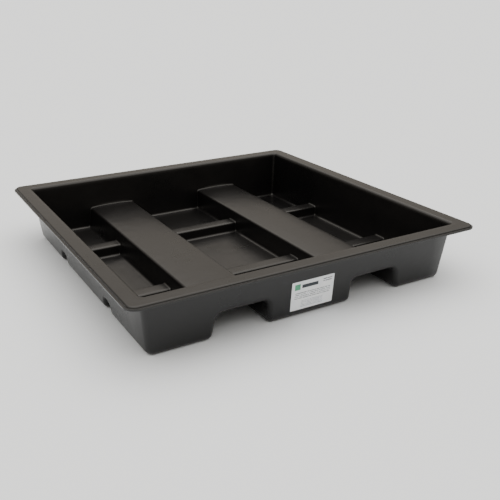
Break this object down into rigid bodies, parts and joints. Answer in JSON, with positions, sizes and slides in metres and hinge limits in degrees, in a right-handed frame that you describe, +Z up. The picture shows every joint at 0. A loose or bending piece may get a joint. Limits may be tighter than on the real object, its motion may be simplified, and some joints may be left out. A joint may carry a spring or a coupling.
{
  "type": "spill containment pallet",
  "caption": "Low square plastic sump tray with a flanged rim, drafted walls, tall hollow ridges that take forks from below, low cross ridges and block feet.",
  "frame": {"origin": "on the ground under the middle of the tray, in the plane of the undersides of the feet", "axes": "+Z up out of the open top; -Y is the front wall that carries the label; the tall ridges and the fork tunnels under them run along Y, the cross ridges along X"},
  "size_m": [1.295, 1.295, 0.2085],
  "materials": {
    "black_hdpe": "satin, fine moulded grain",
    "white_vinyl": "smooth printed film"
  },
  "bodies": {
    "root": {"sump_tray": "black_hdpe", "product_label": "white_vinyl"}
  },
  "joints": []
}
